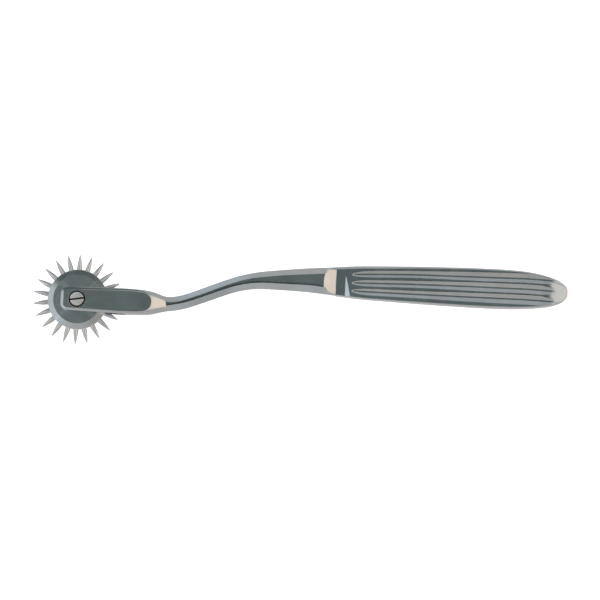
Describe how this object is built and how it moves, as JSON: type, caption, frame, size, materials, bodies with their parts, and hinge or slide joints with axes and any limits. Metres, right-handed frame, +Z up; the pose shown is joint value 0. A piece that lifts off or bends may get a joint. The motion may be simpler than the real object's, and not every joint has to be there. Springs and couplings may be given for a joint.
{
  "type": "tracing wheel",
  "caption": "Hand tool with a spiked metal disc turning in a slotted fork, on an S-bent shank and a fluted hollow handle; rolls a line of pricks.",
  "frame": {"origin": "bottom centre of the bounding box of the tool lying on its back", "axes": "+X along the handle from the wheel to the butt, +Y the side towards which the shank rises, +Z up, along the wheel's axle on the side of the screw's head"},
  "size_m": [0.1899, 0.0338, 0.0089],
  "materials": {
    "forged_steel": "stainless steel, polished, fine lengthwise grind marks",
    "handle_steel": "stainless steel, polished, soft in the flutes",
    "disc_steel": "stainless steel, satin face with turned edge",
    "needle_steel": "hardened steel pins, turned, satin",
    "screw_steel": "steel, brushed head with a worn drive slot"
  },
  "bodies": {
    "handle": {"fork_shank": "forged_steel", "handle_front_shell": "handle_steel", "handle_back_shell": "handle_steel", "axle_screw": "screw_steel"},
    "wheel": {"wheel_disc": "disc_steel", "needle_01": "needle_steel", "needle_02": "needle_steel", "needle_03": "needle_steel", "needle_04": "needle_steel", "needle_05": "needle_steel", "needle_06": "needle_steel", "needle_07": "needle_steel", "needle_08": "needle_steel", "needle_09": "needle_steel", "needle_10": "needle_steel", "needle_11": "needle_steel", "needle_12": "needle_steel", "needle_13": "needle_steel", "needle_14": "needle_steel", "needle_15": "needle_steel", "needle_16": "needle_steel", "needle_17": "needle_steel", "needle_18": "needle_steel", "needle_19": "needle_steel", "needle_20": "needle_steel", "needle_21": "needle_steel", "needle_22": "needle_steel"}
  },
  "joints": [
    {"name": "wheel_spin", "type": "hinge", "parent": "handle", "child": "wheel", "pos_m": [-0.07902, -0.00088, 0.0044], "axis": [0, 0, 1], "continuous": true}
  ]
}
